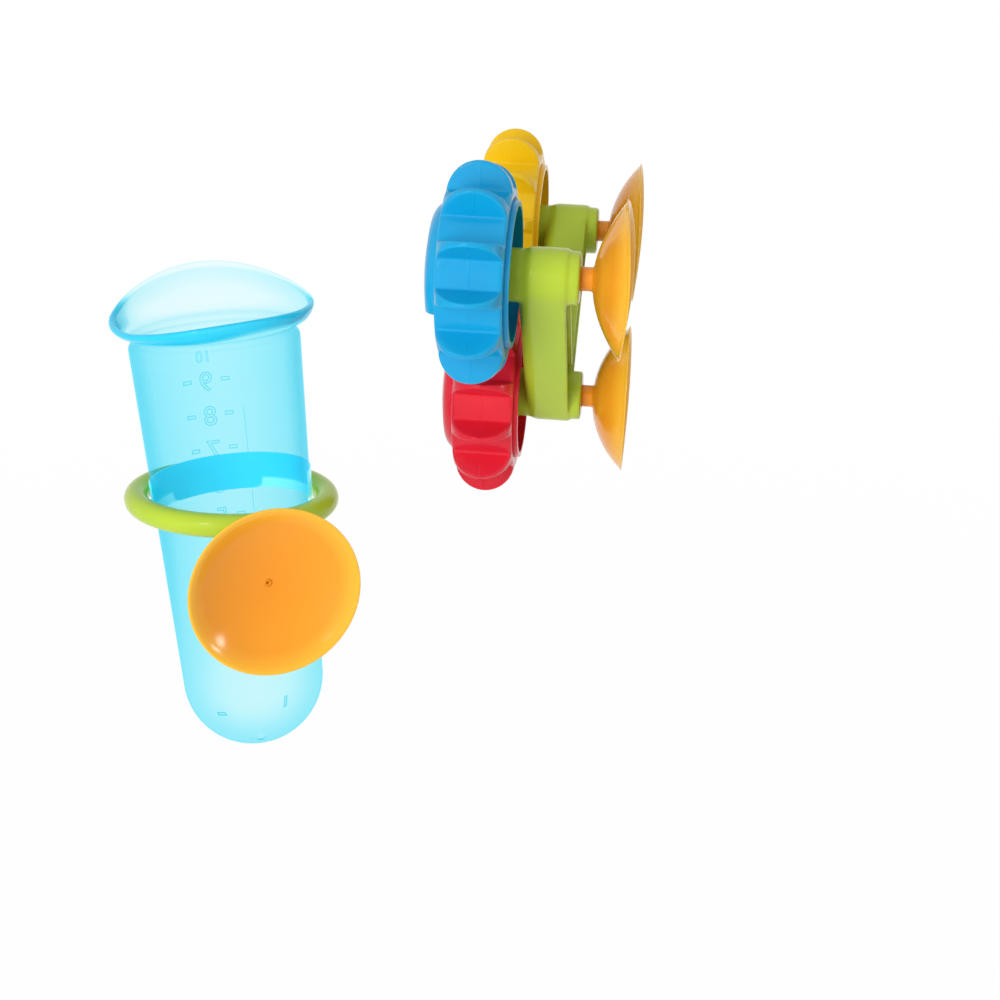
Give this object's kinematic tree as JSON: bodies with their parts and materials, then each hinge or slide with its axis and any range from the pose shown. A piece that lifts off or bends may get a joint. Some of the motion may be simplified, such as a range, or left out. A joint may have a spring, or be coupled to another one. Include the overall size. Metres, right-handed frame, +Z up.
{
  "type": "bath water wheel and measuring tube set",
  "caption": "Bath toy set: paddle wheels that spin on a V-shaped suction-cup frame, and a clear measuring tube with a scoop lip that lifts out of a suction-cup ring holder.",
  "frame": {"origin": "middle of the rim plane of the wheel unit's lower suction cup", "axes": "+X out of that rim into the wall, +Y along the wall from the near upper wheel to the far one, +Z up"},
  "size_m": [0.1877, 0.236, 0.2258],
  "materials": {
    "blue": "moulded gloss",
    "yellow": "moulded gloss",
    "red": "moulded gloss",
    "green": "moulded gloss",
    "orange": "soft satin vinyl",
    "aqua": "clear tinted gloss",
    "natural": "moulded satin",
    "steel": "plated"
  },
  "bodies": {
    "base": {"gear_frame": "green", "near_spindle": "natural", "far_spindle": "natural", "lower_spindle": "natural", "spindle_washers": "steel", "spindle_screws": "steel", "near_suction_cup": "orange", "far_suction_cup": "orange", "lower_suction_cup": "orange", "holder_ring": "green", "holder_suction_cup": "orange"},
    "near_wheel": {"near_paddle_ring": "blue", "near_hub_drum": "blue", "near_front_dome": "blue"},
    "far_wheel": {"far_paddle_ring": "yellow", "far_hub_drum": "yellow", "far_front_dome": "yellow"},
    "lower_wheel": {"lower_paddle_ring": "red", "lower_hub_drum": "red", "lower_front_dome": "red"},
    "tube": {"measuring_tube": "aqua"}
  },
  "joints": [
    {"name": "near_wheel_spin", "type": "hinge", "parent": "base", "child": "near_wheel", "pos_m": [-0.0549, -0.06006, 0.057], "axis": [1, 0, 0], "continuous": true},
    {"name": "far_wheel_spin", "type": "hinge", "parent": "base", "child": "far_wheel", "pos_m": [-0.0549, 0.06006, 0.057], "axis": [1, 0, 0], "continuous": true},
    {"name": "lower_wheel_spin", "type": "hinge", "parent": "base", "child": "lower_wheel", "pos_m": [-0.0549, 0, 0], "axis": [1, 0, 0], "continuous": true},
    {"name": "tube_lift", "type": "slide", "parent": "base", "child": "tube", "axis": [-0.1097, 0, 0.994], "range_m": [0, 0.12]}
  ]
}
